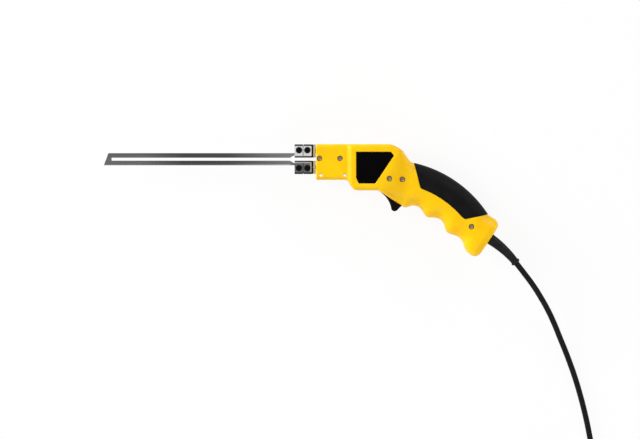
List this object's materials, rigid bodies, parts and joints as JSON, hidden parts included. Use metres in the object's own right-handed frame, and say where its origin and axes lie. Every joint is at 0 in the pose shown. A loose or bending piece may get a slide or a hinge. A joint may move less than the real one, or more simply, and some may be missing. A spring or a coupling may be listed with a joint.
{
  "type": "electric hot knife",
  "caption": "Corded electric hot knife: pistol-shaped clamshell housing with soft grip pads and a trigger, and a slotted blade clamped in screw terminals.",
  "frame": {"origin": "on the flat right side of the housing's body, which the tool lies on, at the height of the blade's centre line", "axes": "+X from the blade's point towards the handle, +Y up the tool in use, +Z across the tool, up from the surface it lies on"},
  "size_m": [0.52, 0.4371, 0.048],
  "materials": {
    "housing": "satin moulded yellow",
    "grip": "soft black",
    "panel": "gloss black",
    "screws": "plated",
    "blade": "heat-darkened",
    "terminal": "plated",
    "set_screws": "black oxide",
    "insulator": "matte black",
    "copper": "bright",
    "phenolic": "matte",
    "laminations": "varnished",
    "nylon": "matte",
    "enamel": "enamelled",
    "trigger": "satin black",
    "switch": "matte black",
    "plunger": "matte red",
    "clamp": "matte black",
    "cord": "matte black",
    "tie": "matte black",
    "plug": "satin black",
    "pins": "nickel plated",
    "lead_a": "matte brown",
    "lead_b": "matte blue",
    "lead_c": "matte black"
  },
  "bodies": {
    "housing": {"housing_left": "housing", "housing_right": "housing", "grip_left": "grip", "grip_right": "grip", "side_panel": "panel", "housing_screws": "screws", "blade": "blade", "terminal_upper": "terminal", "terminal_lower": "terminal", "set_screws": "set_screws", "terminal_spacers": "insulator", "electrode_upper": "copper", "electrode_lower": "copper", "electrode_holder": "phenolic", "transformer_core": "laminations", "bobbin": "nylon", "primary_winding": "enamel", "secondary_strap": "copper", "trigger_pin": "screws", "switch_body": "switch", "cord_clamp": "clamp", "clamp_screws": "screws", "strain_relief": "cord", "cord_tail": "cord", "cord": "cord", "cord_coil": "cord", "cord_end": "cord", "cord_tie": "tie", "plug": "plug", "plug_pins": "pins", "lead_live": "lead_a", "lead_neutral": "lead_b", "lead_primary": "lead_c"},
    "trigger": {"trigger": "trigger"},
    "plunger": {"switch_plunger": "plunger"}
  },
  "joints": [
    {"name": "trigger_pull", "type": "hinge", "parent": "housing", "child": "trigger", "pos_m": [0.01268, -0.03114, 0.024], "axis": [0, 0, 1], "range_deg": [0, 10], "stiffness_Nm_per_rad": 0.3, "springref_deg": -5.73},
    {"name": "plunger_press", "type": "slide", "parent": "housing", "child": "plunger", "axis": [0.5497, 0.8354, 0], "range_m": [0, 0.002]}
  ],
  "couplings": [
    {"joint": "plunger_press", "follows": "trigger_pull", "m_per_rad": 0.0108}
  ]
}
